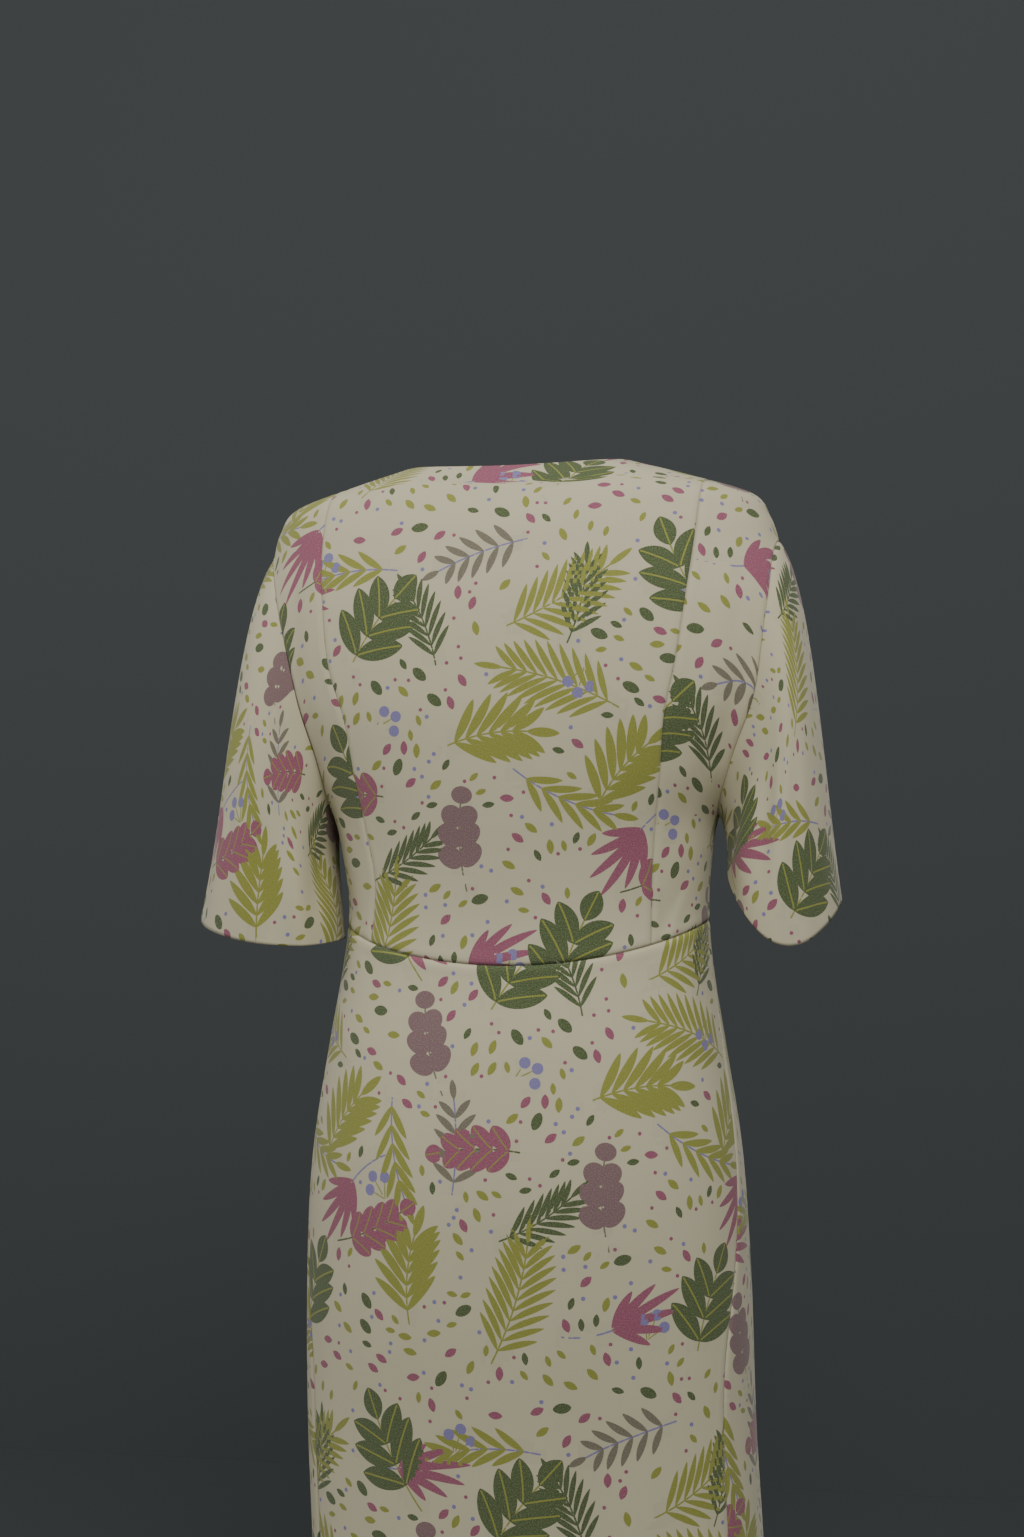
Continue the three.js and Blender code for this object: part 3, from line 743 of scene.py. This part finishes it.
# The front bodice. On the real one it closes the other side of the body, cut in one with a round neck,
# and joins the back at the shoulders and sides. Its two halves share the centre front.
points, flats, quads = [], [], []
for hand, sign, start in (("left", 1, 0), ("right", -1, 1)):
    half = bodice_grid("front", neck(hand), edge(hand, "front"), 66)
    grid = np.arange(half[..., 0].size).reshape(half.shape[:2])
    grid = (grid + start * grid.size)[:, ::sign]
    quads.append(face_groups(grid))
    points.append(sewn(half, left=False, bottom=True).reshape(-1, 3))
    flats.append((flat_of(half) * (sign, 1) + (20, 90)).reshape(-1, 2))
front = jersey_piece("front_bodice", *(np.concatenate(part) for part in (points, flats, quads)))

# The sleeves. Each real one is a single piece closed by an underarm seam, set into a dropped armhole
# with a little ease. It hangs in long soft folds from the armhole to the hem. Each table row goes over
# the top, back, underside and front; leave and rise bend the arcs away from the armhole and the hem.
SLEEVE_EASE = 0.3
SLEEVE_ROWS, SLEEVE_COLUMNS = 110, 132
# How far the first two rows are tucked in at the armhole seam
SLEEVE_TUCK = (1.2, 0.6)
SLEEVES = {
    "left": {
        "hem": [(294, 4, -391), (229, 74, -409), (164, 10, -411), (229, -56, -402)],
        "leave": [(30, 0, -37), (26, 8, -30), (8, 0, -26), (26, -8, -30)],
        "rise": [(-29, 0, 112), (0, 3, 95), (3, 0, 40), (0, -3, 95)],
    },
    "right": {
        "hem": [(271, 2, -379), (224, 72, -410), (175, 4, -353), (222, -68, -396)],
        "leave": [(27, 0, -35), (26, 8, -30), (7, 0, -14), (26, -8, -30)],
        "rise": [(-15, 0, 116), (2, 4, 95), (1, 0, 16), (2, -4, 95)],
    },
}
# Folds along a sleeve: degrees from its top over its back, drift, start, end, width and depth
SLEEVE_FOLDS = {
    "left": [
        (128, 6, 0.3, 1.3, 11, -5), (103, 8, 0.35, 1.2, 12, 4), (152, -8, 0.15, 0.95, 12, 4),
        (236, 10, 0.25, 1.2, 14, 4), (280, -6, 0.4, 1.3, 14, -3), (64, 10, 0.35, 1.15, 9, 1.6),
        (30, -8, 0.5, 1.2, 12, 1.4), (140, 8, 0.1, 0.6, 5, 1.4),
    ],
    "right": [
        (108, 14, 0.1, 1.0, 11, 5), (132, 10, 0.2, 1.1, 11, -4), (74, 8, 0.3, 1.2, 13, 3),
        (240, -8, 0.2, 1.1, 14, 4), (290, 6, 0.45, 1.3, 14, -3), (90, 10, 0.2, 0.8, 5, 1.5),
        (50, -6, 0.5, 1.2, 9, 1.6), (150, 6, 0.15, 0.8, 6, 2),
    ],
}


def around(stations, turn):
    """The smoothest loop through four stations: a mean, a first and a second wave of the turn."""
    top, back, under, front_station = np.array(stations, float)[:, None, :]
    turn = turn[:, None]
    mean, twice = (top + back + under + front_station) / 4, (top - back + under - front_station) / 4
    sway = (top - under) / 2 * np.cos(turn) + (back - front_station) / 2 * np.sin(turn)
    return mean + sway + twice * np.cos(2 * turn)


def sleeve_points(hand):
    """Cubic arcs from the armhole's points to the hem's, then moved in towards each row's middle by the
    folds: a squared sine along each one times a bell across it."""
    turn = np.linspace(-np.pi, np.pi, SLEEVE_COLUMNS + 1)
    z = (SHOULDER_TIP + UNDERARM) / 2 + (SHOULDER_TIP - UNDERARM) / 2 * np.cos(turn)
    out = np.where(np.sin(turn) >= 0, edge_distance(z, hand, "back"), edge_distance(z, hand, "front"))
    start = np.stack([out + SLEEVE_EASE, ARMHOLE_HALF_DEPTH * np.sin(turn), z], axis=-1)
    end = around(SLEEVES[hand]["hem"], turn)
    leave, rise = start + around(SLEEVES[hand]["leave"], turn), end + around(SLEEVES[hand]["rise"], turn)
    t = np.linspace(0, 1, SLEEVE_ROWS + 1)[:, None, None]
    points = start * (1 - t) ** 3 + leave * 3 * t * (1 - t) ** 2 + rise * 3 * t**2 * (1 - t) + end * t**3
    depth = np.zeros(points.shape[:2])
    along = np.broadcast_to(t[..., 0], depth.shape)
    for at, drift, first, last, width, deep in SLEEVE_FOLDS[hand]:
        share = (along - first) / (last - first)
        off = ((np.degrees(turn)[None, :] - at - drift * (share - 0.5) + 180) % 360 - 180) / width
        lasting = np.where((share > 0) & (share < 1), np.sin(np.pi * share) ** 2, 0)
        depth += deep * lasting * np.exp(-(off**2))
    inward = points[:, :-1].mean(axis=1, keepdims=True) - points
    inward[..., 2] = 0
    return points + inward / np.linalg.norm(inward, axis=-1, keepdims=True) * depth[..., None]


for hand, offset in (("left", (210, 20)), ("right", (110, 260))):
    points = sleeve_points(hand)
    points[:2, :, 0] -= np.array(SLEEVE_TUCK)[:, None]
    if hand == "right":
        points = points[:, ::-1] * (-1, 1, 1)
    top_line = np.full(len(points), SLEEVE_COLUMNS // 2)
    sleeve = jersey_grid(f"sleeve_{hand}", points, flat_of(points, top_line) + offset)

# The skirt. The real one is a straight back and front, sewn to the bodice at the dipping waist seam and
# to each other at side seams that swing towards the back, and it hangs in long shallow folds.
SKIRT_ROWS = 212
# Each panel's columns, place on the repeat, flat width and flat area
SKIRT = {"back": (140, (30, 330), 0.44, 0.264), "front": (190, (260, 150), 0.6, 0.38)}


def seam_turn(z):
    """The turn of the side seam: the arcsine of the share of the oval's depth that it lies behind the
    side, to half the oval's fullness."""
    share = read(SKIRT_SEAM_LEVEL, SKIRT_SEAM, z) / read(LEVEL, BODY["back"], z)
    return np.arcsin(share ** (FULLNESS / 2))


def skirt_points(side, columns):
    """Levels from the waist seam to the hem by turns from seam to seam around the oval."""
    share = np.linspace(0, 1, columns + 1)[None, :]
    down = np.linspace(0, 1, SKIRT_ROWS + 1)[:, None]

    def section(z):
        seam = seam_turn(z)
        if side == "back":
            turn = seam + (np.pi - 2 * seam) * share
        else:
            turn = -np.pi - seam + (np.pi + 2 * seam) * share
        half = np.abs(np.cos(turn)) ** (2 / FULLNESS) * np.sign(np.cos(turn))
        return turn, half * half_width(np.cos(turn), z)

    foot = np.full((1, columns + 1), float(WAIST_SIDE))
    for _ in range(8):
        foot = waist_level(section(foot)[1], side)
    z = foot + (HEM - foot) * down
    turn, x = section(z)
    behind = np.sin(turn) >= 0
    return np.where(behind[..., None], body_point(x, z, "back"), body_point(x, z, "front"))


for side, (columns, offset, width, area) in SKIRT.items():
    points = skirt_points(side, columns)
    skirt = jersey_grid(f"skirt_{side}", sewn(points, top=True), flat_of(points) + offset)

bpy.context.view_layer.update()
